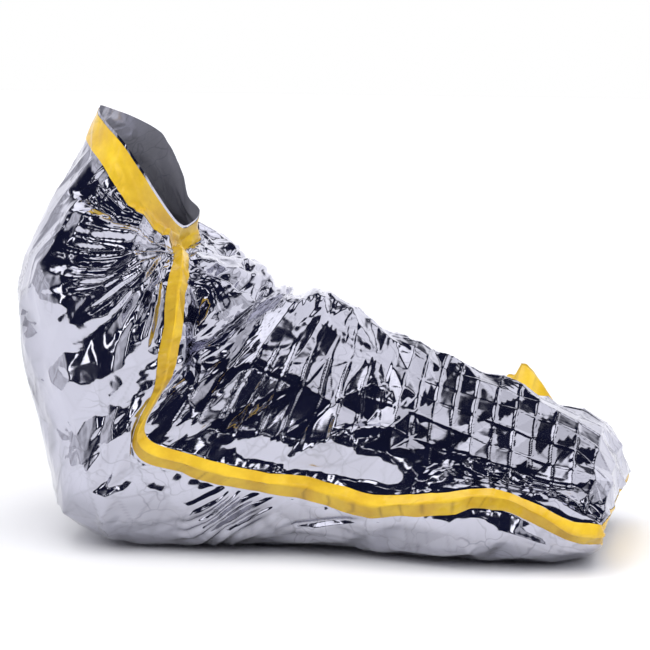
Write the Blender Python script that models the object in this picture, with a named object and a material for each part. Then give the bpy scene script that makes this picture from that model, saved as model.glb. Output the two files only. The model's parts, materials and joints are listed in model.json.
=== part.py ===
"""Emergency bivy sack of metallised film, standing open in the shape that it takes round a seated wearer.

Two film panels are joined edge to edge by folded tape: one tape down each side, one across the foot,
and one round the hood opening. The sack is turned a little round the wearer, so that its right seam
runs down the chest and its left seam behind the back and up over the shins. All pieces are patches of
one surface, which is lofted through STATIONS from the hood rim to the foot seam, so that every tape
follows the film under it.  Metres, +Z up, feet towards +X, the wearer's right at -Y, origin on the floor
under the middle of the bounding box.
"""

import bmesh
import bpy
import numpy as np
from mathutils import Matrix, Vector

FILM = 0.001             # wall of the film, which is about 0.02 mm on the real sack
TAPE = 0.0006            # wall of the tape
GAP = 0.0004             # clearance between pieces that touch
TAPE_HALF = 0.018        # the 36 mm tape lies half on each panel
HEM_TAPE = 0.050         # the wider tape round the hood opening
RIM_SHOWN = 0.005        # film that shows past the hem tape
SEAM_RIDGE = 0.006       # how far the folded side seams stand proud
FIN_HEIGHT = 0.032       # a kink in the left seam near the foot, which stands up from the film
FIN_STATION = 14.8
FIN_SPREAD = 0.50
STRIPS = 16              # strips across each panel between its two side tapes
ROWS = 40                # rows of the film between the hem tape and the foot tape
SECTION_SAMPLES = 90     # points on each half of a section before it is divided
LINE_SAMPLES = 400       # points along the sack before it is divided

# Each station is a section through the sack, in a plane across it.  back and front are its ends in the XZ
# plane: the back and the underside of the sack, and its chest and the top of its legs.
FIELDS = (
    "back_x", "back_z", "front_x", "front_z",
    "half_width", "widest",          # half its width, and where between back and front that is
    "back_power", "front_power",     # 2 is round, more is boxy, less is pointed
    "lift", "turn",                  # how far its sides lean to the hood opening, and how far it slants
    "right_seam", "left_seam",       # where the side seams cross it, from back (0) to front (1)
)
STATIONS = np.array([
    (-0.398, 0.762, -0.240, 0.548, 0.112, 0.36, 1.5, 1.9, 0.031, 0.00, 0.985, 0.015),  # hood rim
    (-0.428, 0.695, -0.245, 0.525, 0.132, 0.40, 1.6, 1.9, 0.026, 0.00, 0.985, 0.015),
    (-0.458, 0.642, -0.240, 0.510, 0.160, 0.45, 1.8, 2.0, 0.015, 0.00, 0.980, 0.020),  # neck
    (-0.492, 0.576, -0.205, 0.508, 0.215, 0.48, 2.0, 2.2, 0.000, 0.00, 0.955, 0.030),  # shoulders
    (-0.524, 0.490, -0.155, 0.500, 0.262, 0.50, 2.2, 2.2, 0.000, 0.00, 0.895, 0.050),
    (-0.532, 0.408, -0.125, 0.468, 0.285, 0.50, 2.3, 2.1, 0.000, 0.00, 0.844, 0.060),  # folded arms
    (-0.522, 0.318, -0.092, 0.440, 0.292, 0.50, 2.3, 2.1, 0.000, 0.00, 0.783, 0.080),
    (-0.492, 0.205, -0.062, 0.427, 0.295, 0.48, 2.3, 2.0, 0.000, 0.00, 0.702, 0.100),
    (-0.448, 0.090, -0.045, 0.432, 0.298, 0.42, 2.8, 1.9, 0.000, 0.00, 0.619, 0.120),  # hips
    (-0.402, 0.020, -0.033, 0.437, 0.300, 0.34, 3.5, 1.8, 0.000, 0.00, 0.445, 0.160),
    (-0.260, -0.003, 0.010, 0.440, 0.292, 0.28, 4.2, 1.6, 0.000, 0.00, 0.385, 0.200),  # knees
    (-0.110, -0.003, 0.055, 0.424, 0.272, 0.27, 3.4, 1.5, 0.000, 0.00, 0.338, 0.270),
    (0.040, -0.003, 0.120, 0.386, 0.262, 0.28, 2.8, 1.4, 0.000, 0.00, 0.330, 0.380),
    (0.170, -0.003, 0.195, 0.348, 0.272, 0.28, 3.2, 1.4, 0.000, 0.00, 0.310, 0.540),
    (0.290, -0.003, 0.285, 0.312, 0.280, 0.30, 3.6, 1.4, 0.000, 0.00, 0.384, 0.720),  # shins
    (0.385, -0.003, 0.375, 0.280, 0.275, 0.32, 3.4, 1.4, 0.000, 0.00, 0.455, 0.770),
    (0.457, -0.003, 0.450, 0.250, 0.258, 0.34, 3.0, 1.5, 0.000, 0.01, 0.400, 0.680),
    (0.502, 0.000, 0.520, 0.212, 0.243, 0.38, 2.6, 1.7, 0.000, 0.03, 0.350, 0.590),  # feet
    (0.527, 0.018, 0.562, 0.134, 0.222, 0.42, 2.2, 2.0, 0.000, 0.05, 0.430, 0.510),
    (0.532, 0.050, 0.547, 0.086, 0.214, 0.50, 2.0, 2.0, 0.000, 0.07, 0.500, 0.500),  # foot seam
])


def station_at(u):
    """The row of STATIONS at a place u between two of them, by a Catmull-Rom spline."""
    last = len(STATIONS) - 1
    i = min(int(u), last - 1)
    t = u - i
    before, start, end, after = (STATIONS[min(max(k, 0), last)] for k in (i - 1, i, i + 1, i + 2))
    slope_in, slope_out = (end - before) / 2, (after - start) / 2
    value = (
        (2 * t**3 - 3 * t**2 + 1) * start
        + (t**3 - 2 * t**2 + t) * slope_in
        + (3 * t**2 - 2 * t**3) * end
        + (t**3 - t**2) * slope_out
    )
    return dict(zip(FIELDS, value))


def half_section(row):
    """Points on one side of a section, from back to front: how far to the front, and how wide, as shares."""
    angle = np.linspace(0, np.pi / 2, SECTION_SAMPLES)
    back = row["widest"] * (1 - np.cos(angle) ** (2 / row["back_power"]))
    back_width = np.sin(angle) ** (2 / row["back_power"])
    angle = angle[::-1][1:]
    front = row["widest"] + (1 - row["widest"]) * np.cos(angle) ** (2 / row["front_power"])
    front_width = np.sin(angle) ** (2 / row["front_power"])
    return np.concatenate([back, front]), np.concatenate([back_width, front_width])


def in_space(row, along, width, side):
    """Half-section points as places in space, on side -1 (the wearer's right) or 1."""
    start = np.array([row["back_x"], 0, row["back_z"]])
    across = np.array([row["front_x"], 0, row["front_z"]]) - start
    towards_hood = np.array([-across[2], 0, across[0]]) / np.linalg.norm(across)
    points = start + along[:, None] * across
    points = points + (row["lift"] * width**2)[:, None] * towards_hood
    points[:, 1] = side * width * row["half_width"]
    points[:, 0] -= row["turn"] * points[:, 1]
    points[:, 2] = np.maximum(points[:, 2], 0.0)
    return points


def travelled(points):
    """Distance along a line of points, from its start to each of them."""
    steps = np.linalg.norm(np.diff(points, axis=0), axis=1)
    return np.concatenate([[0], np.cumsum(steps)])


def at_distance(points, distance, wanted):
    return np.stack([np.interp(wanted, distance, points[:, k]) for k in range(3)], axis=1)


def panel_line(points, start, end, distance):
    """Points across a panel between the seams at two distances, with one at the edge of each tape."""
    edge = min(TAPE_HALF, (end - start) / 3)
    inner = np.linspace(start + edge, end - edge, STRIPS + 1)
    return at_distance(points, distance, np.concatenate([[start], inner, [end]]))


def ring_at(u):
    """A closed ring of points: the front panel from right to left, then the back panel from left to right."""
    row = station_at(u)
    along, width = half_section(row)
    right, left = in_space(row, along, width, -1), in_space(row, along, width, 1)
    count = len(along)
    around = np.concatenate([right, left[::-1][1:], right[1:]])
    distance = travelled(around)
    right_seam = np.interp(row["right_seam"], along, distance[:count])
    left_seam = np.interp(-row["left_seam"], -along[::-1], distance[count - 1 : 2 * count - 1])
    front = panel_line(around, right_seam, left_seam, distance)
    back = panel_line(around, left_seam, distance[2 * count - 2] + right_seam, distance)
    return add_ridges(np.concatenate([front[:-1], back[:-1]]), u)


def add_ridges(ring, u):
    """Pushes the two seam points outwards, so that the folded seams stand proud of the film."""
    fin = FIN_HEIGHT * np.exp(-(((u - FIN_STATION) / FIN_SPREAD) ** 2))
    fade = max(0.0, min(1.0, u / 3, (len(STATIONS) - 1.6 - u) / 1.5))
    for column, height in ((0, SEAM_RIDGE), (len(ring) // 2, SEAM_RIDGE + fin)):
        across = ring[(column + 1) % len(ring)] - ring[column - 1]
        outward = ring[column] - ring.mean(axis=0)
        outward -= across * (across @ outward) / (across @ across)
        ring[column] += height * fade * outward / np.linalg.norm(outward)
    return ring


def surface():
    """Points of the whole film, row by row from the hood rim to the foot seam, with rows at tape edges."""
    places = np.linspace(0, len(STATIONS) - 1, LINE_SAMPLES)
    lines = np.array([ring_at(u) for u in places])
    grid = []
    for k in range(lines.shape[1]):
        distance = travelled(lines[:, k])
        body = np.linspace(RIM_SHOWN + HEM_TAPE, distance[-1] - TAPE_HALF, ROWS + 1)
        wanted = np.concatenate([[0, RIM_SHOWN], body, [distance[-1]]])
        grid.append(at_distance(lines[:, k], distance, wanted))
    return np.array(grid).swapaxes(0, 1)


def offset_steps(points):
    """At each point of the grid, the step that moves the faces round it outwards by one unit."""
    after = np.roll(points, -1, axis=1)
    a, b, c, d = points[:-1], after[:-1], after[1:], points[1:]
    faces = []
    for first, second, third in ((a, b, c), (a, c, d), (a, b, d), (b, c, d)):
        normal = np.cross(second - first, third - first)
        normal /= np.linalg.norm(normal, axis=2, keepdims=True)
        below = np.concatenate([normal, normal[-1:]])
        above = np.concatenate([normal[:1], normal])
        faces += [below, above, np.roll(below, 1, axis=1), np.roll(above, 1, axis=1)]
    steps = sum(faces)
    steps /= np.linalg.norm(steps, axis=2, keepdims=True)
    facing = np.min([(steps * normal).sum(axis=2) for normal in faces], axis=0)
    steps /= np.maximum(facing, 0.5)[:, :, None]
    outward = points - points.mean(axis=1, keepdims=True)
    return steps * np.sign((steps * outward).sum())


def plain_material(name, colour, metallic, roughness):
    material = bpy.data.materials.new(name)
    material.use_nodes = True
    shader = material.node_tree.nodes["Principled BSDF"]
    shader.inputs["Base Color"].default_value = (*colour, 1)
    shader.inputs["Metallic"].default_value = metallic
    shader.inputs["Roughness"].default_value = roughness
    return material


def add_sheet(name, inner, outer, mirrored, material, round_closed=False, end_closed=False):
    """A thin solid between an inner and an outer grid of points.

    mirrored tells for each column whether the squares after it are split by their other diagonal;
    round_closed joins the last column to the first; end_closed closes the last row of a round grid across.
    """
    mesh = bmesh.new()
    rows, columns = inner.shape[:2]
    layers = [[[mesh.verts.new(point) for point in line] for line in grid] for grid in (inner, outer)]
    spans = columns if round_closed else columns - 1
    for layer in layers:
        for i in range(rows - 1):
            for j in range(spans):
                k = (j + 1) % columns
                corners = [layer[i][j], layer[i][k], layer[i + 1][k], layer[i + 1][j]]
                if mirrored[j]:
                    corners = corners[1:] + corners[:1]
                mesh.faces.new((corners[0], corners[1], corners[2]))
                mesh.faces.new((corners[0], corners[2], corners[3]))
        if end_closed:
            close_across(mesh, layer[-1])
    low, high = layers
    edges = [(low[0], high[0])]
    if not end_closed:
        edges.append((low[-1], high[-1]))
    for below, above in edges:
        for j in range(spans):
            k = (j + 1) % columns
            mesh.faces.new((below[j], below[k], above[k], above[j]))
    if not round_closed:
        for j in (0, columns - 1):
            for i in range(rows - 1):
                mesh.faces.new((low[i][j], low[i + 1][j], high[i + 1][j], high[i][j]))
    bmesh.ops.recalc_face_normals(mesh, faces=mesh.faces[:])
    data = bpy.data.meshes.new(name)
    mesh.to_mesh(data)
    mesh.free()
    data.materials.append(material)
    data.shade_smooth()
    data.set_sharp_from_angle(angle=np.radians(40))
    piece = bpy.data.objects.new(name, data)
    bpy.context.scene.collection.objects.link(piece)
    return piece


def close_across(mesh, line):
    """Closes a flattened ring by joining each point of its first half to the one across from it."""
    half = len(line) // 2
    mesh.faces.new((line[0], line[1], line[-1]))
    for j in range(1, half - 1):
        mesh.faces.new((line[j], line[j + 1], line[-j - 1], line[-j]))
    mesh.faces.new((line[half - 1], line[half], line[half + 1]))


def eased(grid, axis, clearance=GAP):
    """Draws both ends of a grid in along one axis, to leave clearance beside it."""
    grid = np.array(np.moveaxis(grid, axis, 0))
    for end, inside in ((0, 1), (-1, -2)):
        step = grid[inside] - grid[end]
        grid[end] += clearance * step / np.linalg.norm(step, axis=-1, keepdims=True)
    return np.moveaxis(grid, 0, axis)


def build():
    points = surface()
    steps = offset_steps(points)
    half = points.shape[1] // 2
    film = plain_material("metallised film", (0.72, 0.72, 0.78), 1.0, 0.16)
    tape = plain_material("yellow tape", (0.86, 0.55, 0.06), 0.0, 0.35)
    low, high = FILM + GAP, FILM + GAP + TAPE
    every_row, every_column = np.arange(len(points)), np.arange(2 * half)
    front, back = np.arange(half + 1), np.arange(half, 2 * half + 1) % (2 * half)

    def patch(rows, columns, height):
        places = points[rows][:, columns] + height * steps[rows][:, columns]
        places[:, :, 2] = np.maximum(places[:, :, 2], -FILM)
        return places

    def mirrored(columns):
        return (columns >= half / 2) & (columns < 3 * half / 2)

    for name, columns in (("film_front", front), ("film_back", back)):
        inner, outer = eased(patch(every_row, columns, 0), 1), eased(patch(every_row, columns, FILM), 1)
        add_sheet(name, inner, outer, mirrored(columns), film)
    for name, middle in (("tape_right", 0), ("tape_left", half)):
        rows, columns = every_row[2:-1], np.array([middle - 1, middle, middle + 1]) % (2 * half)
        inner = eased(patch(rows, columns, low), 0, 3 * GAP)
        outer = eased(patch(rows, columns, high), 0, 3 * GAP)
        add_sheet(name, inner, outer, mirrored(columns), tape)
    rows = every_row[1:3]
    inner, outer = patch(rows, every_column, low), patch(rows, every_column, high)
    add_sheet("tape_hood", inner, outer, mirrored(every_column), tape, round_closed=True)
    rows = every_row[-2:]
    inner, outer = patch(rows, every_column, low), patch(rows, every_column, high)
    onward = points[-1] - points[-2]
    onward /= np.linalg.norm(onward, axis=1, keepdims=True)
    inner[-1] += GAP * onward
    outer[-1] += (GAP + TAPE) * onward
    add_sheet("tape_foot", inner, outer, mirrored(every_column), tape, round_closed=True, end_closed=True)


def put_origin():
    """Moves everything so that the origin is under the middle of the bounding box."""
    pieces = list(bpy.context.scene.collection.objects)
    corners = np.array([vert.co for piece in pieces for vert in piece.data.vertices])
    low, high = corners.min(axis=0), corners.max(axis=0)
    shift = Vector((-(low[0] + high[0]) / 2, -(low[1] + high[1]) / 2, -low[2]))
    for piece in pieces:
        piece.data.transform(Matrix.Translation(shift))


def main():
    for obj in list(bpy.data.objects):
        bpy.data.objects.remove(obj)
    build()
    put_origin()


if __name__ == "__main__":
    main()
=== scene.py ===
import json
import math
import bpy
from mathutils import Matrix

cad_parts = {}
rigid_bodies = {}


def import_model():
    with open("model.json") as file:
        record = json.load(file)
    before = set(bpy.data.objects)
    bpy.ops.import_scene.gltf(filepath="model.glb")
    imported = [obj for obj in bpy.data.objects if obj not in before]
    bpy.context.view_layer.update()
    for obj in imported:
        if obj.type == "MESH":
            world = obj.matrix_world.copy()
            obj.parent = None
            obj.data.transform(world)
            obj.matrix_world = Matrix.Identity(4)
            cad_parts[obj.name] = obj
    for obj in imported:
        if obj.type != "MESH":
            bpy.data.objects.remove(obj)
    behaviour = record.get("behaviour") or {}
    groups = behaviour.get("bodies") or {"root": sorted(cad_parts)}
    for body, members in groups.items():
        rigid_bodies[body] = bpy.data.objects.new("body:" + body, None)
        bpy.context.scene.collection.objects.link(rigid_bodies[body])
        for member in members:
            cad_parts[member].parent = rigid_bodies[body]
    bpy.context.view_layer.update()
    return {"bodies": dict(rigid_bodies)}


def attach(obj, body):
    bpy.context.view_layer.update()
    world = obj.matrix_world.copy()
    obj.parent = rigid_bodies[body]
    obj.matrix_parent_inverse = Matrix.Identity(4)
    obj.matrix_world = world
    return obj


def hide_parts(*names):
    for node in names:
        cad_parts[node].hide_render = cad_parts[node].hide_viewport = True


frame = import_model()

from types import SimpleNamespace

import bpy
import numpy as np
from mathutils import Vector, geometry
from mathutils.bvhtree import BVHTree

# -----------------------------------------------------------------------------------------------------------
# The shape under the creases.  Each station is a section through the sack, as in the solids, in the same
# order: ends of the section at the back and the front, half width, where it is widest, squareness of its back
# and front halves, lean of its sides and slant, and where the side seams cross it.
STATIONS = np.array([
    (-0.398, 0.762, -0.240, 0.548, 0.112, 0.36, 1.5, 1.9, 0.031, 0.00, 0.985, 0.015),  # hood rim
    (-0.428, 0.695, -0.245, 0.525, 0.132, 0.40, 1.6, 1.9, 0.026, 0.00, 0.985, 0.015),
    (-0.458, 0.642, -0.240, 0.510, 0.160, 0.45, 1.8, 2.0, 0.015, 0.00, 0.980, 0.020),  # neck
    (-0.492, 0.576, -0.205, 0.508, 0.215, 0.48, 2.0, 2.2, 0.000, 0.00, 0.955, 0.030),  # shoulders
    (-0.524, 0.490, -0.155, 0.500, 0.262, 0.50, 2.2, 2.2, 0.000, 0.00, 0.895, 0.050),
    (-0.532, 0.408, -0.125, 0.468, 0.285, 0.50, 2.3, 2.1, 0.000, 0.00, 0.844, 0.060),  # folded arms
    (-0.522, 0.318, -0.092, 0.440, 0.292, 0.50, 2.3, 2.1, 0.000, 0.00, 0.783, 0.080),
    (-0.492, 0.205, -0.062, 0.427, 0.295, 0.48, 2.3, 2.0, 0.000, 0.00, 0.702, 0.100),
    (-0.448, 0.090, -0.045, 0.432, 0.298, 0.42, 2.8, 1.9, 0.000, 0.00, 0.619, 0.120),  # hips
    (-0.402, 0.020, -0.033, 0.437, 0.300, 0.34, 3.5, 1.8, 0.000, 0.00, 0.445, 0.160),
    (-0.260, -0.003, 0.010, 0.440, 0.292, 0.28, 4.2, 1.6, 0.000, 0.00, 0.385, 0.200),  # knees
    (-0.110, -0.003, 0.055, 0.424, 0.272, 0.27, 3.4, 1.5, 0.000, 0.00, 0.338, 0.270),
    (0.040, -0.003, 0.120, 0.386, 0.262, 0.28, 2.8, 1.4, 0.000, 0.00, 0.330, 0.380),
    (0.170, -0.003, 0.195, 0.348, 0.272, 0.28, 3.2, 1.4, 0.000, 0.00, 0.310, 0.540),
    (0.290, -0.003, 0.285, 0.312, 0.280, 0.30, 3.6, 1.4, 0.000, 0.00, 0.384, 0.720),  # shins
    (0.385, -0.003, 0.375, 0.280, 0.275, 0.32, 3.4, 1.4, 0.000, 0.00, 0.455, 0.770),
    (0.457, -0.003, 0.450, 0.250, 0.258, 0.34, 3.0, 1.5, 0.000, 0.01, 0.400, 0.680),
    (0.502, 0.000, 0.520, 0.212, 0.243, 0.38, 2.6, 1.7, 0.000, 0.03, 0.350, 0.590),  # feet
    (0.527, 0.018, 0.562, 0.134, 0.222, 0.42, 2.2, 2.0, 0.000, 0.05, 0.430, 0.510),
    (0.532, 0.050, 0.547, 0.086, 0.214, 0.50, 2.0, 2.0, 0.000, 0.07, 0.500, 0.500),  # foot seam
])
FIELDS = (
    "back_x", "back_z", "front_x", "front_z", "half_width", "widest", "back_power", "front_power",
    "lift", "turn", "right_seam", "left_seam",
)
LAST = len(STATIONS) - 1
SHIFT_X = -0.0172        # from the stations to the row frame
TAPE_HALF = 0.018        # how far a seam tape reaches onto each panel
HEM_TAPE = 0.050
RIM_SHOWN = 0.005        # film beyond the hem tape
TAPE_OFF_FILM = 0.0006
LOWEST = 0.0012          # the lowest film stands this far off the floor
BAND = 9                 # columns across half a tape
INNER = 182              # columns across a panel between its tapes
HALF = INNER + 2 * BAND  # columns of a panel
RIM_ROWS, HEM_ROWS, BODY_ROWS, FOOT_ROWS = 2, 18, 440, 9
HEM_END = RIM_ROWS + HEM_ROWS
SECTION_SAMPLES = 360    # points on a quarter of a section, before they are spaced out
SECTIONS = 1100          # sections down the sack, before they are spaced out
LENGTH_SAMPLES = 200     # places at which the columns' lengths are averaged
COLUMN_STEP = 8          # columns between those averaged, and between facet corners along the edges


def smooth(low, high, value):
    """Rises smoothly from 0 at low to 1 at high."""
    t = np.clip((value - low) / (high - low), 0, 1)
    return t * t * (3 - 2 * t)


def band(start, whole, fading, end, value):
    """Rises from 0 at start to 1 at whole, and falls from 1 at fading to 0 at end."""
    return smooth(start, whole, value) * (1 - smooth(fading, end, value))


def bump(middle, spread, value):
    """1 at the middle, and close to 0 away from it."""
    return np.exp(-(((value - middle) / spread) ** 2))


def ridge(distance, width):
    """A straight-sided ridge, 1 where the distance is 0 and 0 from its width on."""
    return np.clip(1 - np.abs(distance) / width, 0, 1)


def station_at(u):
    """The section at a place u down the sack, on a smooth curve through the stations."""
    i = min(int(u), LAST - 1)
    t = u - i
    before, start, end, after = (STATIONS[min(max(k, 0), LAST)] for k in (i - 1, i, i + 1, i + 2))
    slope_in, slope_out = (end - before) / 2, (after - start) / 2
    value = (
        (2 * t**3 - 3 * t**2 + 1) * start
        + (t**3 - 2 * t**2 + t) * slope_in
        + (3 * t**2 - 2 * t**3) * end
        + (t**3 - t**2) * slope_out
    )
    return dict(zip(FIELDS, value))


def half_section(row):
    """One side of a section: shares of the way from its back to its front, and shares of its half width."""
    angle = np.linspace(0, np.pi / 2, SECTION_SAMPLES)
    back = row["widest"] * (1 - np.cos(angle) ** (2 / row["back_power"]))
    back_width = np.sin(angle) ** (2 / row["back_power"])
    angle = angle[::-1][1:]
    front = row["widest"] + (1 - row["widest"]) * np.cos(angle) ** (2 / row["front_power"])
    front_width = np.sin(angle) ** (2 / row["front_power"])
    return np.concatenate([back, front]), np.concatenate([back_width, front_width])


def in_space(row, along, width, side):
    start = np.array([row["back_x"], 0, row["back_z"]])
    across = np.array([row["front_x"], 0, row["front_z"]]) - start
    towards_hood = np.array([-across[2], 0, across[0]]) / np.linalg.norm(across)
    points = start + along[:, None] * across + (row["lift"] * width**2)[:, None] * towards_hood
    points[:, 0] += SHIFT_X
    points[:, 1] = side * width * row["half_width"]
    points[:, 0] -= row["turn"] * points[:, 1]
    points[:, 2] = np.maximum(points[:, 2], 0.0)
    return np.column_stack([points, along])


def travelled(points):
    steps = np.linalg.norm(np.diff(points[:, :3], axis=0), axis=1)
    return np.concatenate([[0], np.cumsum(steps)])


def at_distance(points, distance, wanted):
    return np.stack([np.interp(wanted, distance, channel) for channel in points.T], axis=1)


def panel_line(points, start, end, distance):
    edge = min(TAPE_HALF, (end - start) / 3)
    wanted = np.concatenate([
        np.linspace(start, start + edge, BAND + 1)[:-1],
        np.linspace(start + edge, end - edge, INNER + 1)[:-1],
        np.linspace(end - edge, end, BAND + 1),
    ])
    return at_distance(points, distance, wanted)


def ring_at(u):
    """A ring of points: x, y, z, share of the way to the front, distance round from the front, and u."""
    row = station_at(u)
    along, width = half_section(row)
    right, left = in_space(row, along, width, -1), in_space(row, along, width, 1)
    count = len(along)
    around = np.concatenate([right, left[::-1][1:], right[1:]])
    distance = travelled(around)
    right_seam = np.interp(row["right_seam"], along, distance[:count])
    left_seam = np.interp(-row["left_seam"], -along[::-1], distance[count - 1 : 2 * count - 1])
    front_middle = distance[count - 1]
    around = np.column_stack([around, distance - front_middle])
    front = panel_line(around, right_seam, left_seam, distance)
    back = panel_line(around, left_seam, distance[2 * count - 2] + right_seam, distance)
    ring = np.concatenate([front[:-1], back[:-1]])
    return np.column_stack([ring, np.full(len(ring), u)])


def surface():
    """The grid of the film, in rows from the hood rim to the foot seam, and the distance down each column."""
    lines = np.array([ring_at(u) for u in np.linspace(0, LAST, SECTIONS)])
    grid, down = [], []
    hem_end = RIM_SHOWN + HEM_TAPE
    for k in range(lines.shape[1]):
        distance = travelled(lines[:, k])
        wanted = np.concatenate([
            np.linspace(0, RIM_SHOWN, RIM_ROWS + 1)[:-1],
            np.linspace(RIM_SHOWN, hem_end, HEM_ROWS + 1)[:-1],
            np.linspace(hem_end, distance[-1] - TAPE_HALF, BODY_ROWS + 1)[:-1],
            np.linspace(distance[-1] - TAPE_HALF, distance[-1], FOOT_ROWS + 1),
        ])
        grid.append(at_distance(lines[:, k], distance, wanted))
        down.append(wanted)
    return np.array(grid).swapaxes(0, 1), np.array(down).T


def normals_of(points):
    along = np.gradient(points, axis=0)
    around = np.roll(points, -1, axis=1) - np.roll(points, 1, axis=1)
    normals = np.cross(around, along)
    normals /= np.maximum(np.linalg.norm(normals, axis=2, keepdims=True), 1e-12)
    outward = points - points.mean(axis=1, keepdims=True)
    return normals * np.sign((normals * outward).sum())


# -----------------------------------------------------------------------------------------------------------
# Flat facets.  A tile is a patch of random heights joined by triangles.
TILE = 36                # facets along a side of a tile
FINE = 10                # points along a side of a facet
TILE_JITTER = 0.48       # how far the facets' corners stray, as a share of a facet
SAME_SPOT = 1e-6         # spots closer than this count as one
FACET_RIM = (0.01, 0.06)  # a facet's rim fades between these distances from its edge, in shares of its height
RAY_INSET = 0.002        # rays keep this far inside the first and last rows
RAY_SHIFTS = (0.0007, 0.0011)  # and this far off the grid's points, so that none runs along a facet's edge
DOWN = Vector((0, 0, -1))


def triangles_between(spots):
    """Flat triangles between spots: all corners, which spot each of them is, and three for each triangle."""
    corners, _, triangles, origins = geometry.delaunay_2d_cdt(
        [Vector(spot) for spot in spots], [], [], 0, SAME_SPOT
    )[:4]
    return corners, np.array([origin[0] for origin in origins]), triangles


def facet_tile(seed):
    rng = np.random.default_rng(seed)
    x, y = np.meshgrid(np.arange(-1, TILE + 2), np.arange(-1, TILE + 2))
    spots = np.column_stack([x.ravel(), y.ravel()]) + rng.uniform(-TILE_JITTER, TILE_JITTER, (x.size, 2))
    heights = rng.uniform(-1, 1, x.size)
    _, origin, triangles = triangles_between(spots)
    tree = BVHTree.FromPolygons(np.column_stack([spots, heights])[origin].tolist(), triangles)
    places = range(TILE * FINE + 1)
    hits = [[tree.ray_cast(Vector((j / FINE, i / FINE, 5)), DOWN)[0] for j in places] for i in places]
    return np.array([[hit.z if hit else 0 for hit in row] for row in hits])


TILES = [facet_tile(3), facet_tile(8)]


def foil(p, q, spacing, shift, tile):
    """Heights from -1 to 1 of flat facets with that spacing, at places p and q."""
    values = TILES[tile]
    span = values.shape[0] - 1
    x, y = (
        np.abs(((place / gap + shift) * FINE + span) % (2 * span) - span)
        for place, gap in zip((p, q), spacing)
    )
    i, j = np.minimum(x.astype(int), span - 1), np.minimum(y.astype(int), span - 1)
    s, t = x - i, y - j
    return (
        values[i, j] * (1 - s) * (1 - t) + values[i + 1, j] * s * (1 - t)
        + values[i, j + 1] * (1 - s) * t + values[i + 1, j + 1] * s * t
    )


def wave(value):
    """A zigzag from -1 to 1 with straight sides, of period 1."""
    return 4 * np.abs(value - np.floor(value + 0.5)) - 1


def crest(value, period, sharpness):
    """Thin ridges from 0 to 1, one in every period."""
    return np.clip(1 - sharpness * np.abs(value / period - np.round(value / period)), 0, 1)


def dent(place, middle, size):
    """1 at a middle in space and 0 away from it."""
    return np.exp(-sum(((place[:, :, k] - middle[k]) / size[k]) ** 2 for k in range(3)))


def lattice(level, c, gap, gap_round, jitter, lean, rng):
    """Nodes of the grid (row, column) about one gap apart along the sack and another round it."""
    columns = np.arange(level.shape[1])
    found = []
    for k in range(int(level.min() / gap) - 1, int(level.max() / gap) + 2):
        rows = np.abs(level - k * gap).argmin(axis=0)
        line = np.maximum.accumulate(c[rows, columns])
        places = np.arange(int(line[0] / gap_round) - 1, int(line[-1] / gap_round) + 2) + 0.0
        places += (k % 2) * min(jitter, 0.5) + rng.uniform(-jitter, jitter, places.size)
        places = places[(places * gap_round > line[0]) & (places * gap_round < line[-1])] * gap_round
        j = np.minimum(np.searchsorted(line, places), columns[-1])
        wanted = (k + rng.uniform(-jitter, jitter, places.size)) * gap + lean * places
        i = np.abs(level[:, j] - wanted).argmin(axis=0)
        found.append(np.column_stack([i, j])[np.abs(level[i, j] - wanted) < gap / 2])
    return np.unique(np.concatenate(found), axis=0)


def faceted(points, nodes, lifts):
    """The grid of points, laid over flat triangles between some of its nodes, each lifted off the surface.

    It comes with a painted shade from 0 to 1 for each triangle, drawn at random to stand in for the facets'
    differing reflections, and how near each point is to an edge of its triangle.
    """
    rows, columns = points.shape[:2]
    normals = normals_of(points)
    pad = columns // 6
    i, j = nodes.T
    lifted = points[i, j] + lifts[:, None] * normals[i, j]
    # the nodes near the first column are repeated after the last one, and the other way round
    before, after = np.flatnonzero(j >= columns - pad), np.flatnonzero(j < pad)
    origin = np.concatenate([np.arange(len(nodes)), before, after])
    spots = np.column_stack([i[origin], j[origin]]).astype(float)
    spots[len(nodes) : len(nodes) + len(before), 1] -= columns
    spots[len(nodes) + len(before) :, 1] += columns
    corners, source, triangles = triangles_between(spots)
    places, triangles = np.array([corner[:] for corner in corners]), np.array(triangles)
    tree = BVHTree.FromPolygons([(*place, 0.0) for place in places], triangles.tolist())
    ray_rows = np.clip(np.arange(rows), RAY_INSET, rows - 1 - RAY_INSET) + RAY_SHIFTS[0]
    ray_columns = np.arange(columns) + RAY_SHIFTS[1]
    hits = np.array([[tree.ray_cast(Vector((m, n, 1)), DOWN)[2] for n in ray_columns] for m in ray_rows])
    hit_corners = triangles[hits]
    a, b, d = (places[hit_corners[:, :, k]] for k in range(3))
    here = np.stack(np.meshgrid(np.arange(rows), np.arange(columns), indexing="ij"), axis=-1)
    first, second, offset = b - a, d - a, here - a
    whole = first[:, :, 0] * second[:, :, 1] - first[:, :, 1] * second[:, :, 0]
    share_b = (offset[:, :, 0] * second[:, :, 1] - offset[:, :, 1] * second[:, :, 0]) / whole
    share_d = (first[:, :, 0] * offset[:, :, 1] - first[:, :, 1] * offset[:, :, 0]) / whole
    p, q, r = (lifted[origin[source[hit_corners[:, :, k]]]] for k in range(3))
    # a painted shade for each triangle, at random, standing in for the facets' differing reflections
    facet_shade = np.random.default_rng(len(triangles)).uniform(0, 1, len(triangles))[hits]
    to_edge = np.minimum(np.minimum(share_b, share_d), 1 - share_b - share_d)
    laid = p + share_b[:, :, None] * (q - p) + share_d[:, :, None] * (r - p)
    return laid, facet_shade, 1 - smooth(*FACET_RIM, to_edge)


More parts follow.
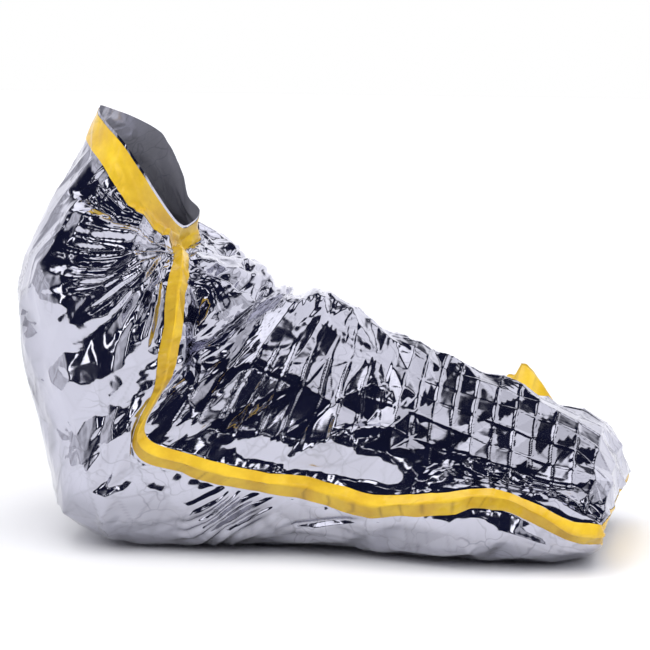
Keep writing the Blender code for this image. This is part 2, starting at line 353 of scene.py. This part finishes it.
# -----------------------------------------------------------------------------------------------------------
# The sack's parts.  Each runs over some stations, counted from the hood rim, and some shares of the way from
# back to front.  Two numbers say where it begins and is whole, or fades and ends.  Four say all of these.
HOOD_STATIONS = (1.0, 1.8)
CHEST_STATIONS, CHEST_SHARES = (2.2, 3.4, 8.8, 9.8), (0.68, 0.84)
UPPER_STATIONS, UPPER_SHARES = (8.6, 9.8), (0.14, 0.26)
THIGH_STATIONS, THIGH_SHARES = (8.4, 9.4, 12.2, 13.4), (0.46, 0.54, 0.74, 0.88)
SHIN_STATIONS, SHIN_SHARES, SHIN_ENDS = (12.2, 13.4), (0.50, 0.58), (17.4, 18.5)
BACK_SHARES = (0.10, 0.24)
UNDER_STATIONS, UNDER_SHARES = (8.5, 10), (0.18, 0.34)
SIDE = (0.30, 0.40)      # where the front's facets give way to the back's, as a share of the girth
BACK_TILE_SHIFT = 17.3   # the back takes its facets from another place of the tiles
SEED = 21

# Facets of each part: what their rows follow, the gaps between their corners down and round the sack, how far
# the corners stray as a share of a gap, how much the rows lean, and how far the corners leave the surface.
FACETS = (
    ("x", 0.030, 0.032, 0.42, 0.10, 0.0100),   # chest
    ("s", 0.042, 0.038, 0.42, 0.30, 0.0135),   # sides of the upper body
    ("s", 0.054, 0.130, 0.24, -0.20, 0.0180),  # thighs
    ("s", 0.037, 0.048, 0.10, -0.06, 0.0078),  # shins
    ("s", 0.062, 0.056, 0.30, 0.00, 0.0042),   # everywhere else
)
EDGE_STRENGTH = 0.002
SMALL_FACETS = (0.019, 0.017, 0.42, 0.2)
SMALL_STRENGTH = 0.0018
SMALLEST_LIFT = 0.0004   # where small facets would be lower than this, the surface keeps its points
KEPT_STEP = 4            # and these are that many rows and columns apart

# Packing folds, pleats and veins.
FOLD_GAPS = (0.037, 0.048)
PLEAT_GAP = 0.050

# Single folds, all on the wearer's right.  Places x are counted before SHIFT_X.
CHIN_X, CHIN_Z = -0.255, 0.494        # the pinch, where y is 0
CHIN_REACH = 0.16                     # the folds from it grow up to this distance
SHOULDER_X, SHOULDER_Z, SHOULDER_DROP = -0.238, 0.483, 0.470
HIP_X, HIP_Z = -0.086, 0.069
HIP_WAY = (0.81, 0.58)                # the way that the ripples run, in x and z
HIP_GAP = 0.017
UNDER_X, UNDER_Z, UNDER_SLOPE = 0.044, 0.061, 0.205
GROOVE_SHARE, GROOVE_DEPTH, GROOVE_GAP = 0.575, 0.010, 0.015
ROLL_STATIONS, ROLL_SHARES = (10.0, 11.2, 12.8, 14.2), (0.39, 0.52, 0.55, 0.92)
SWELL_STATIONS, SWELL_SHARE = (14.0, 15.5, 17.8, 18.8), 0.20
# dark pockets beside the seam and under the chin: depth, middle and size
POCKETS = (
    (0.045, (-0.142, -0.22, 0.356), (0.017, 0.12, 0.034)),
    (0.020, (-0.243, -0.06, 0.500), (0.013, 0.05, 0.012)),
)

# The seams.
SEAM_RIDGE = 0.010
TAB_HEIGHT = 0.068
# the stations where the tab and the lower step beside it have no height, and how many it takes to be whole
TAB_RISE, TAB_FALL = (14.32, 0.07), (15.50, 1.0)
STEP_RISE, STEP_FALL, STEP_SHARE = (14.16, 0.05), (14.40, 0.05), 0.62
MOUTH_OUT = 0.020        # how far the left side of the hood mouth stands out past the chin


def measured(grid, down):
    """Where each point of the grid is on the sack.

    It has the point's place before creasing, base, with x, y and z, and ahead, which is x before SHIFT_X.
    Then f is the share of the way from back to front, c the distance round from the front, u the station and
    s the distance down the sack.
    """
    at = SimpleNamespace(base=grid[:, :, :3], f=grid[:, :, 3], c=grid[:, :, 4], u=grid[:, :, 5])
    at.x, at.y, at.z = (at.base[:, :, k] for k in range(3))
    at.ahead = at.x - SHIFT_X
    places = np.linspace(0, LAST, LENGTH_SAMPLES)
    lengths = [np.interp(places, at.u[:, k], down[:, k]) for k in range(0, 2 * HALF, COLUMN_STEP)]
    at.s = np.interp(at.u, places, np.mean(lengths, axis=0))
    at.columns = np.arange(2 * HALF)
    at.from_seam = np.minimum(at.columns % HALF, HALF - at.columns % HALF)
    girth = (np.max(at.c, axis=1) - np.min(at.c, axis=1))[:, None]
    at.from_front = np.where(at.c > girth / 2, at.c - girth, at.c)
    from_back = np.where(at.from_front > 0, at.from_front - girth / 2, at.from_front + girth / 2)
    at_front = 1 - smooth(*SIDE, np.abs(at.from_front) / girth)

    def foils(spacing, shift, tile, skew=0.0):
        """Facets over the whole sack, whose two sets meet along its sides."""
        front = foil(at.s + skew * at.from_front, at.from_front, spacing, shift, tile)
        back = foil(at.s + skew * from_back, from_back, spacing, shift + BACK_TILE_SHIFT, tile)
        return at_front * front + (1 - at_front) * back

    at.foils = foils
    return at


def parts_of(at):
    """How far each point belongs to each part of the sack, from 0 to 1."""
    f, u = at.f, at.u
    part = SimpleNamespace(hood=1 - smooth(*HOOD_STATIONS, u), back=1 - smooth(*BACK_SHARES, f))
    part.under = (1 - smooth(*UNDER_SHARES, f)) * smooth(*UNDER_STATIONS, u)
    part.chest = smooth(*CHEST_SHARES, f) * band(*CHEST_STATIONS, u)
    part.upper = smooth(*UPPER_SHARES, f) * (1 - smooth(*UPPER_STATIONS, u)) * (1 - part.chest)
    part.thigh = band(*THIGH_STATIONS, u) * band(*THIGH_SHARES, f)
    part.shin = smooth(*SHIN_STATIONS, u) * smooth(*SHIN_SHARES, f) * (1 - 0.5 * smooth(*SHIN_ENDS, u))
    part.right = smooth(0.0, 0.08, -at.y)
    # the back and underside, where the film's colour gets painted shade
    part.pale = np.clip(part.back + part.under, 0, 1)
    return part


def large_facets(at, part, rng):
    """The surface in flat facets, of a size and strength for each part, with their painted shades and rims.
    """
    shins = (part.shin > 0.3) | (at.u > 12.8) & (at.f > 0.5)
    region = np.select([part.chest > 0.5, part.upper > 0.5, part.thigh > 0.5, shins], [0, 1, 2, 3], 4)
    nodes, lifts = [], []
    for number, (follows, gap, gap_round, jitter, lean, strength) in enumerate(FACETS):
        found = lattice(getattr(at, follows), at.c, gap, gap_round, jitter, lean, rng)
        found = found[region[found[:, 0], found[:, 1]] == number]
        nodes.append(found)
        lifts.append(rng.uniform(-strength, strength, len(found)))
    rows = len(at.base)
    for row in (0, HEM_END, rows - FOOT_ROWS, rows - 1):
        found = np.column_stack([np.full(2 * HALF // COLUMN_STEP, row), np.arange(0, 2 * HALF, COLUMN_STEP)])
        nodes.append(found)
        lifts.append(rng.uniform(-EDGE_STRENGTH, EDGE_STRENGTH, len(found)))
    nodes, chosen = np.unique(np.concatenate(nodes), axis=0, return_index=True)
    return faceted(at.base, nodes, np.concatenate(lifts)[chosen])


def small_facets(points, at, part, rng):
    """Smaller facets over the large ones, here and there."""
    patches = 0.25 + 0.75 * smooth(-0.1, 0.5, at.foils((0.11, 0.10), 11, 0))
    share = 0.30 + np.maximum(part.upper, part.chest) + 0.15 * part.thigh + 0.2 * part.shin
    strength = SMALL_STRENGTH * share * patches
    nodes = lattice(at.s, at.c, *SMALL_FACETS, rng)
    lifts = strength[nodes[:, 0], nodes[:, 1]]
    nodes, lifts = nodes[lifts > SMALLEST_LIFT], lifts[lifts > SMALLEST_LIFT]
    rows, columns = np.arange(0, len(points), KEPT_STEP), np.arange(0, 2 * HALF, KEPT_STEP)
    kept = np.column_stack([places.ravel() for places in np.meshgrid(rows, columns, indexing="ij")])
    kept = kept[strength[kept[:, 0], kept[:, 1]] <= SMALLEST_LIFT]
    edges = [np.column_stack([np.full(len(columns), row), columns]) for row in (0, len(points) - 1)]
    kept = np.concatenate([kept, *edges])
    nodes = np.concatenate([nodes, kept])
    lifts = np.concatenate([lifts, np.zeros(len(kept))]) * rng.uniform(-1, 1, len(nodes))
    nodes, chosen = np.unique(nodes, axis=0, return_index=True)
    return faceted(points, nodes, lifts[chosen])[0]


def fan_folds(at):
    """Folds that fan out from the pinch under the chin."""
    out_x, out_z = at.ahead - CHIN_X + 0.25 * at.y, at.z - CHIN_Z + 0.135 * at.y
    reach = np.hypot(out_x, out_z) + 0.3 * np.abs(at.y)
    turn = np.arctan2(out_z, out_x)
    fan = band(0.01, 0.05, 0.20, 0.34, reach) * (1 - smooth(6, 7.5, at.u)) * smooth(0.2, 0.4, at.f)
    fan *= (1 - smooth(0.02, 0.12, at.y)) * np.minimum(reach, CHIN_REACH)
    folds = 0.13 * foil(turn, reach, (0.15, 0.22), 3, 1)
    return fan * (folds + 0.045 * foil(turn, reach, (0.075, 0.16), 7, 0))


def shoulder_fold(at):
    """A fold down from the shoulder to the hip."""
    along = (SHOULDER_Z - at.z) / SHOULDER_DROP
    return 0.012 * ridge(at.ahead - SHOULDER_X + 0.069 * along, 0.022) * band(0.0, 0.12, 0.90, 1.05, along)


def hip_ripples(at):
    """A group of short ripples that rise from the hip."""
    out_x, out_z = at.ahead - HIP_X, at.z - HIP_Z
    along, across = HIP_WAY[0] * out_x + HIP_WAY[1] * out_z, HIP_WAY[0] * out_z - HIP_WAY[1] * out_x
    bent = (across + 0.10 * along) / HIP_GAP + 0.7 * at.foils((0.05, 0.04), 5, 1, skew=0.3)
    return 0.0070 * bump(0, 0.085, along) * bump(0, 0.040, across) * wave(bent)


def right_side_folds(at):
    """Single folds on the wearer's right: how high they stand off the surface."""
    height = shoulder_fold(at) + hip_ripples(at)
    # a crease under the seam, and a wrinkled groove over it along the shins
    off = at.z - UNDER_Z - UNDER_SLOPE * (at.ahead - UNDER_X)
    height -= 0.010 * ridge(off, 0.011) * band(-0.04, 0.08, 0.30, 0.37, at.ahead)
    wrinkles = 0.0016 * wave(at.c / GROOVE_GAP + 0.8 * at.foils((0.09, 0.09), 3, 1))
    groove = smooth(13.0, 15.0, at.u) * bump(GROOVE_SHARE, 0.055, at.f)
    height -= groove * (GROOVE_DEPTH + wrinkles)
    # a roll of film over the seam at the knees, and a swell under the seam at the shins
    height += 0.030 * band(*ROLL_SHARES, at.f) * band(*ROLL_STATIONS, at.u)
    return height + 0.008 * bump(SWELL_SHARE, 0.16, at.f) * band(*SWELL_STATIONS, at.u)


def between(rise, fall, value):
    """Straight up from 0 at one place and down to 0 at another, 1 between them."""
    return np.clip(np.minimum((value - rise[0]) / rise[1], (fall[0] - value) / fall[1]), 0, 1)


def creased(grid, down):
    """The grid of points, creased all over, and the shade painted into the film's colour at each point."""
    at = measured(grid, down)
    part = parts_of(at)
    rng = np.random.default_rng(SEED)
    points, facet_shade, rim = large_facets(at, part, rng)
    points = small_facets(points, at, part, rng)
    height = fan_folds(at) + part.right * right_side_folds(at)
    # sharp lines of the packing folds, pleats on the thighs, veins elsewhere, and a fine crackle
    lines = np.maximum(
        crest(at.s + 0.06 * at.from_front, FOLD_GAPS[0], 10), crest(at.from_front, FOLD_GAPS[1], 12)
    )
    height += (0.0013 * part.shin + 0.0003) * lines * (1 - part.hood)
    pleats = crest(at.s + 0.20 * at.from_front + 0.010 * at.foils((0.16, 0.10), 5, 1), PLEAT_GAP, 8)
    height += part.thigh * (0.0034 * pleats + 0.0008 * rim)
    veins = crest(at.foils((0.075, 0.062), 9, 1, skew=0.2), 0.52, 6)
    veins *= smooth(-0.4, 0.3, at.foils((0.15, 0.12), 2, 0, skew=0.3))
    height += 0.0010 * (1 - part.thigh) * (1 - part.shin) * (1 - part.hood) * veins
    height += (1 - part.hood) * 0.00014 * at.foils((0.011, 0.011), 6, 1, skew=0.2)

    # the hood and the seams are smoother, and the tape has a ridge over the joined edges and its own wrinkles
    fade = np.minimum(1, np.minimum(at.u / 3, (LAST - at.u) / 1.5))
    near_seam = (1 - smooth(BAND * 0.9, BAND * 1.9, at.from_seam)) * fade
    calm = np.maximum(0.85 * near_seam, 1 - smooth(0.75, 1.25, at.u))
    height *= 1 - calm
    for depth, middle, spread in POCKETS:
        height -= depth * dent(at.base, (middle[0] + SHIFT_X, *middle[1:]), spread)
    left = np.abs(at.columns - HALF) <= BAND
    tab = np.maximum(between(TAB_RISE, TAB_FALL, at.u), STEP_SHARE * between(STEP_RISE, STEP_FALL, at.u))
    height += ridge(at.from_seam, BAND) * fade * (SEAM_RIDGE + np.where(left, TAB_HEIGHT * tab, 0.0))
    height += near_seam * 0.0042 * at.foils((0.036, 0.050), 1, 1, skew=0.5)
    height += near_seam * 0.0012 * at.foils((0.012, 0.040), 4, 0, skew=-0.3)
    height += (1 - smooth(0.8, 1.4, at.u)) * 0.0014 * at.foils((0.030, 0.022), 2, 0)
    points = points + calm[:, :, None] * (at.base - points) + height[:, :, None] * normals_of(at.base)
    # kinks of the tape along its way
    around = np.roll(points, -1, axis=1) - np.roll(points, 1, axis=1)
    around /= np.linalg.norm(around, axis=2, keepdims=True)
    points += (0.0048 * foil(at.s, at.c, (0.050, 0.6), 6, 1) * near_seam)[:, :, None] * around
    mouth = bump(0.050, 0.030, at.y) * smooth(0.80, 0.92, at.f) * (1 - smooth(2.0, 3.2, at.u))
    points[:, :, 0] += MOUTH_OUT * mouth
    points[:, :, 2] = np.maximum(points[:, :, 2], LOWEST)
    return points, film_shade(at, part, facet_shade, rim, lines, veins, calm)


def film_shade(at, part, facet_shade, rim, lines, veins, calm):
    """Painted shade in the film's colour: facets differ for their reflections, rims, fold lines and veins get
    painted crease shade, and the back and underside are painted darker over their reflection of the floor.
    """
    seen = smooth(-0.2, 0.5, at.foils((0.13, 0.17), 4, 0, skew=0.4))
    # painted shade on each facet, for its reflection, stronger on the shins and thighs
    shade = 1 - (0.05 + 0.08 * part.pale + 0.25 * np.maximum(part.shin, 0.5 * part.thigh)) * facet_shade
    # painted crease shade along the facets' rims in some patches, and along the fold lines on the back and
    # underside in the others
    shade -= 0.12 * seen * rim + 0.09 * part.pale * (1 - seen) * lines
    # painted shade over the back and underside, darker still along the veins
    shade -= part.pale * (0.18 + 0.24 * veins)
    return shade * (1 - 0.5 * calm) + 0.5 * calm


# -----------------------------------------------------------------------------------------------------------
# Materials.
FILM_COLOUR = (0.56, 0.56, 0.64, 1)
FILM_ROUGHNESS = 0.10
INSIDE_METALLIC = 0.45
# width, darkness and bend of the web of painted crease shade
NET_WIDTH, NET_DARKNESS, NET_BEND = 0.045, 0.22, 0.22
# random patches of dull and bright yellow, and the dark brown that the tape's painted shade goes towards
TAPE_DULL, TAPE_BRIGHT, TAPE_SHADOW_COLOUR = (0.66, 0.38, 0.012, 1), (0.90, 0.60, 0.030, 1), (0.10, 0.04, 0, 1)
TAPE_ROUGHNESS, TAPE_COAT = 0.32, 0.3
BLACK, WHITE = (0, 0, 0, 1), (1, 1, 1, 1)


def node(tree, kind, inputs=(), **settings):
    made = tree.nodes.new(kind)
    for name, value in settings.items():
        setattr(made, name, value)
    for key, value in dict(inputs).items():
        socket = made.inputs[key]
        if isinstance(value, bpy.types.NodeSocket):
            tree.links.new(value, socket)
        else:
            socket.default_value = value
    return made


def new_material(name):
    """A material with its node tree, its shader, and the object's own coordinates."""
    material = bpy.data.materials.new(name)
    material.use_nodes = True
    tree = material.node_tree
    place = node(tree, "ShaderNodeTexCoord").outputs["Object"]
    return material, tree, tree.nodes["Principled BSDF"], place


def add_relief(tree, shader, grain, strength, distance):
    relief = {"Strength": strength, "Distance": distance, "Height": grain.outputs["Fac"]}
    tree.links.new(node(tree, "ShaderNodeBump", relief).outputs["Normal"], shader.inputs["Normal"])


def noise(tree, place, **settings):
    return node(tree, "ShaderNodeTexNoise", {"Vector": place, **settings})


def painted_crease_shade(tree, place):
    """Painted crease shade: a web of thin darker lines in the film's colour, that comes and goes."""
    bent = noise(tree, place, Scale=9.0, Detail=3.0).outputs["Color"]
    bent = node(tree, "ShaderNodeVectorMath", {0: bent, 1: (NET_BEND,) * 3}, operation="MULTIPLY").outputs[0]
    bent = node(tree, "ShaderNodeVectorMath", {0: bent, 1: place}, operation="ADD").outputs[0]
    cells = node(tree, "ShaderNodeTexVoronoi", {"Vector": bent, "Scale": 17.0}, feature="DISTANCE_TO_EDGE")
    crease_shade = {0: cells.outputs["Distance"], 1: 0.0, 2: NET_WIDTH, 3: NET_DARKNESS, 4: 0.0}
    crease_shade = node(tree, "ShaderNodeMapRange", crease_shade).outputs[0]
    area = noise(tree, place, Scale=7.0).outputs["Fac"]
    area = node(tree, "ShaderNodeMapRange", {0: area, 1: 0.42, 2: 0.58}).outputs[0]
    return node(tree, "ShaderNodeMath", {0: crease_shade, 1: area}, operation="MULTIPLY").outputs[0]


def film_material():
    material, tree, shader, place = new_material("metallised film")
    add_relief(tree, shader, noise(tree, place, Scale=45.0, Detail=2.0, Roughness=0.5), 0.05, 0.002)
    # the painted shade and the painted crease shade darken the film's colour towards black
    shade = node(tree, "ShaderNodeAttribute", attribute_name="shade").outputs["Fac"]
    crease_shade = painted_crease_shade(tree, place)
    shade = node(tree, "ShaderNodeMath", {0: shade, 1: crease_shade}, operation="SUBTRACT").outputs[0]
    colour = node(tree, "ShaderNodeMix", {0: shade, 6: BLACK, 7: FILM_COLOUR}, data_type="RGBA")
    tree.links.new(colour.outputs[2], shader.inputs["Base Color"])
    # the metal is on the outside, so the inside of the film shows as plain grey
    inside = node(tree, "ShaderNodeNewGeometry").outputs["Backfacing"]
    metal = node(tree, "ShaderNodeMapRange", {0: inside, 1: 0.0, 2: 1.0, 3: 1.0, 4: INSIDE_METALLIC})
    tree.links.new(metal.outputs[0], shader.inputs["Metallic"])
    shader.inputs["Roughness"].default_value = FILM_ROUGHNESS
    return material


def tape_material():
    material, tree, shader, place = new_material("yellow tape")
    patches = noise(tree, place, Scale=16.0, Detail=5.0, Roughness=0.6)
    ramp = node(tree, "ShaderNodeValToRGB", {"Fac": patches.outputs["Fac"]})
    for stop, position, colour in zip(ramp.color_ramp.elements, (0.3, 0.65), (TAPE_DULL, TAPE_BRIGHT)):
        stop.position = position
        stop.color = colour
    # the painted shade darkens the tape's colour towards dark brown
    shade = node(tree, "ShaderNodeAttribute", attribute_name="shade").outputs["Fac"]
    tape_shade_mix = {0: shade, 6: TAPE_SHADOW_COLOUR, 7: ramp.outputs["Color"]}
    tape_shade_mix = node(tree, "ShaderNodeMix", tape_shade_mix, data_type="RGBA")
    tree.links.new(tape_shade_mix.outputs[2], shader.inputs["Base Color"])
    add_relief(tree, shader, noise(tree, place, Scale=120.0, Detail=4.0), 0.3, 0.001)
    shader.inputs["Roughness"].default_value = TAPE_ROUGHNESS
    shader.inputs["Coat Weight"].default_value = TAPE_COAT
    return material


# -----------------------------------------------------------------------------------------------------------
# Pieces.


def add_grid(name, points, material, shade, round_closed=False, join_end=False):
    """A piece with a face between every four points, and closed all round or joined at its end if asked."""
    rows, columns = points.shape[:2]
    index = np.arange(rows * columns).reshape(rows, columns)
    after = np.roll(index, -1, axis=1) if round_closed else index[:, 1:]
    here = index if round_closed else index[:, :-1]
    faces = np.stack([here[:-1], here[1:], after[1:], after[:-1]], axis=-1).reshape(-1, 4).tolist()
    if join_end:
        last = index[-1]
        for j in range(columns // 2):
            faces.append([last[j], last[-j] if j else last[0], last[-j - 1], last[j + 1]])
        faces = [list(dict.fromkeys(face)) for face in faces]
    mesh = bpy.data.meshes.new(name)
    mesh.from_pydata(points.reshape(-1, 3).tolist(), [], faces)
    mesh.materials.append(material)
    mesh.shade_smooth()
    # the shade painted into the colour, kept on each point for the material
    values = mesh.attributes.new("shade", "FLOAT", "POINT")
    values.data.foreach_set("value", shade.ravel().astype(np.float32))
    piece = bpy.data.objects.new(name, mesh)
    bpy.context.scene.collection.objects.link(piece)
    return piece


def tape_shade(grid, hem):
    """Painted shade on the tape at each point: darker on the back panel's side, as painted shade on the half
    turned from the light, and along painted crease lines, with darker patches that differ at random.
    """
    c, u = grid[:, :, 4], grid[:, :, 5]
    columns = np.arange(2 * HALF)
    back_side = ((columns > HALF) & (columns <= HALF + BAND)) | (columns >= 2 * HALF - BAND)
    # painted crease shade along lines that wander across the tape
    painted_crease_lines = crest(u + 0.25 * foil(u, c, (0.5, 0.02), 1, 0), 0.37, 9)
    painted_crease_lines *= smooth(0.0, 0.6, foil(u, c, (0.9, 0.03), 4, 1))
    # the back panel's side, apart from the hem, and the crease lines get painted shade
    shade = 1 - 0.32 * back_side[None, :] * ~hem[:, None] - 0.30 * painted_crease_lines
    return shade - 0.10 * smooth(0, 1, foil(u, c, (0.35, 0.018), 2, 1))


def build():
    grid, down = surface()
    points, shade = creased(grid, down)
    film, tape = film_material(), tape_material()
    front = np.arange(HALF + 1)
    back = np.arange(HALF, 2 * HALF + 1) % (2 * HALF)
    hem = np.arange(len(points)) <= HEM_END
    # the tape's painted shade, with its random darker patches
    tape_shade_and_mottle = tape_shade(grid, hem)
    above = points + TAPE_OFF_FILM * normals_of(points)
    above[:, :, 2] = np.maximum(above[:, :, 2], LOWEST - TAPE_OFF_FILM)
    pieces = {
        "film_front": add_grid("film.front", points[:, front], film, shade[:, front]),
        "film_back": add_grid("film.back", points[:, back], film, shade[:, back]),
    }
    for name, middle in (("tape.right", 0), ("tape.left", HALF)):
        patch = np.ix_(np.arange(HEM_END, len(points) - FOOT_ROWS), middle + np.arange(-BAND, BAND + 1))
        pieces[name.replace(".", "_")] = add_grid(name, above[patch], tape, tape_shade_and_mottle[patch])
    rows = np.arange(RIM_ROWS, HEM_END + 1)
    pieces["tape_hood"] = add_grid("tape.hood", above[rows], tape, tape_shade_and_mottle[rows], round_closed=True)
    rows = np.arange(len(points) - FOOT_ROWS - 1, len(points))
    pieces["tape_foot"] = add_grid(
        "tape.foot", above[rows], tape, tape_shade_and_mottle[rows], round_closed=True, join_end=True
    )
    body = next(iter(frame["bodies"]))
    for solid, piece in pieces.items():
        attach(piece, body)
        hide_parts(solid)


# -----------------------------------------------------------------------------------------------------------
# Studio.
FLOOR_REACH = 14
FLOOR_COLOUR = (0.93, 0.93, 0.94, 1)
STUDIO_DARK, STUDIO_LIGHT = (0.010, 0.012, 0.035, 1), (1.0, 1.0, 1.05, 1)
OVERHEAD_LEVEL = 1.40
# Light panels round the sack: azimuths of their left and right edges, 0 towards the camera's side and
# positive to the feet; the sines of the elevations of their lower and upper edges; brightness; softness of
# their edges.
RIPPLED_PANELS = (
    (-2.3, -0.95, -0.3, 0.80, 0.86, 0.25),
    (1.05, 2.2, -0.3, 0.55, 0.86, 0.15),
)
PLAIN_PANELS = (
    (2.0, 3.3, -1.1, 0.60, 1.2, 0.2),
    (-3.3, -2.0, -1.1, 0.60, 1.2, 0.2),
    (-0.72, -0.48, 0.12, 0.52, 2.0, 0.03),
    (0.40, 0.60, 0.26, 0.60, 2.0, 0.03),
    (-0.14, 0.00, 0.50, 0.66, 1.8, 0.03),
    (0.16, 0.26, 0.10, 0.30, 0.8, 0.03),
    (0.72, 0.95, 0.02, 0.40, 0.6, 0.03),
)
SUN_ENERGY, SUN_ANGLE, SUN_DIRECTION = 2.8, math.radians(85), (-0.05, 0.50, -1.0)
AZIMUTH, ELEVATION, DISTANCE = math.radians(14), math.radians(8), 4.8
VIEW_WIDTH = math.radians(13.83)
SENSOR = 36
TARGET = (0.02 + SHIFT_X, 0, 0.375)


def add_stage():
    mesh = bpy.data.meshes.new("floor")
    corners = [(FLOOR_REACH * x, FLOOR_REACH * y, 0) for x, y in ((-1, -1), (1, -1), (1, 1), (-1, 1))]
    mesh.from_pydata(corners, [], [(0, 1, 2, 3)])
    material = bpy.data.materials.new("floor")
    material.use_nodes = True
    shader = material.node_tree.nodes["Principled BSDF"]
    shader.inputs["Base Color"].default_value = FLOOR_COLOUR
    shader.inputs["Roughness"].default_value = 0.9
    shader.inputs["Specular IOR Level"].default_value = 0.1
    mesh.materials.append(material)
    floor = bpy.data.objects.new("floor", mesh)
    bpy.context.scene.collection.objects.link(floor)


def add_world():
    """Light panels and overhead bars, which light and are reflected.  The camera itself sees plain white."""
    world = bpy.data.worlds.new("studio")
    bpy.context.scene.world = world
    world.use_nodes = True
    tree = world.node_tree
    tree.nodes.clear()
    direction = node(tree, "ShaderNodeTexCoord").outputs["Generated"]
    x, y, z = node(tree, "ShaderNodeSeparateXYZ", {0: direction}).outputs

    def calc(kind, *values):
        return node(tree, "ShaderNodeMath", dict(enumerate(values)), operation=kind).outputs[0]

    def mix_of(first, first_share, second, second_share):
        """A sum of two values, each times its share."""
        return calc("ADD", calc("MULTIPLY", first, first_share), calc("MULTIPLY", second, second_share))

    def ramp(value, low, high, start=0.0, end=1.0):
        limits = {0: value, 1: low, 2: high, 3: start, 4: end}
        return node(tree, "ShaderNodeMapRange", limits, interpolation_type="SMOOTHSTEP").outputs[0]

    def window(value, low, high, edge):
        return calc("MULTIPLY", ramp(value, low, low + edge), ramp(value, high - edge, high, 1.0, 0.0))

    def panel(left, right, low, high, level, edge):
        """A light panel between two azimuths and two heights, with soft edges."""
        mask = calc("MULTIPLY", window(azimuth, left, right, edge), window(z, low, high, edge))
        return calc("MULTIPLY", mask, level)

    azimuth = calc("ARCTAN2", x, calc("MULTIPLY", y, -1.0))
    # bars overhead, in banks, that get dimmer and brighter along and across
    bars = ramp(calc("ABSOLUTE", calc("SINE", calc("MULTIPLY", x, 5.2))), 0.50, 0.62)
    banks = ramp(calc("SINE", calc("ADD", calc("MULTIPLY", y, 4.4), 0.1)), -0.25, -0.10)
    level = calc("MULTIPLY", calc("MULTIPLY", bars, banks), ramp(z, 0.60, 0.66))
    strengths = calc("ADD", calc("MULTIPLY", calc("SINE", mix_of(x, 3.1, y, 2.3)), -0.22), 1.0)
    level = calc("MULTIPLY", calc("MULTIPLY", level, strengths), OVERHEAD_LEVEL)
    ripple = calc("ADD", calc("MULTIPLY", calc("SINE", mix_of(azimuth, 19.0, z, 11.0)), 0.18), 0.82)
    for edges in RIPPLED_PANELS:
        level = calc("MAXIMUM", level, calc("MULTIPLY", panel(*edges), ripple))
    for edges in PLAIN_PANELS:
        level = calc("MAXIMUM", level, panel(*edges))
    tint = {0: level, 6: STUDIO_DARK, 7: STUDIO_LIGHT}
    tint = node(tree, "ShaderNodeMix", tint, data_type="RGBA", clamp_factor=False)
    studio = node(tree, "ShaderNodeBackground", {"Color": tint.outputs[2], "Strength": 1.0})
    plain = node(tree, "ShaderNodeBackground", {"Color": WHITE, "Strength": 1.0})
    seen = node(tree, "ShaderNodeLightPath").outputs["Is Camera Ray"]
    mixed = node(tree, "ShaderNodeMixShader", {0: seen, 1: studio.outputs[0], 2: plain.outputs[0]})
    node(tree, "ShaderNodeOutputWorld", {0: mixed.outputs[0]})


def add_light():
    """Soft light from above the camera's side, for the tape and the floor."""
    data = bpy.data.lights.new("soft light", "SUN")
    data.energy = SUN_ENERGY
    data.angle = SUN_ANGLE
    light = bpy.data.objects.new("soft light", data)
    light.rotation_euler = Vector(SUN_DIRECTION).to_track_quat("-Z", "Y").to_euler()
    light.visible_glossy = False
    bpy.context.scene.collection.objects.link(light)


def add_camera():
    flat = math.cos(ELEVATION)
    back = Vector((math.sin(AZIMUTH) * flat, -math.cos(AZIMUTH) * flat, math.sin(ELEVATION)))
    data = bpy.data.cameras.new("camera")
    data.sensor_width = SENSOR
    data.lens = SENSOR / 2 / math.tan(VIEW_WIDTH / 2)
    camera = bpy.data.objects.new("camera", data)
    camera.location = Vector(TARGET) + back * DISTANCE
    camera.rotation_euler = (-back).to_track_quat("-Z", "Y").to_euler()
    bpy.context.scene.collection.objects.link(camera)
    bpy.context.scene.camera = camera


build()
add_stage()
add_world()
add_light()
add_camera()
bpy.context.scene.view_settings.view_transform = "Standard"
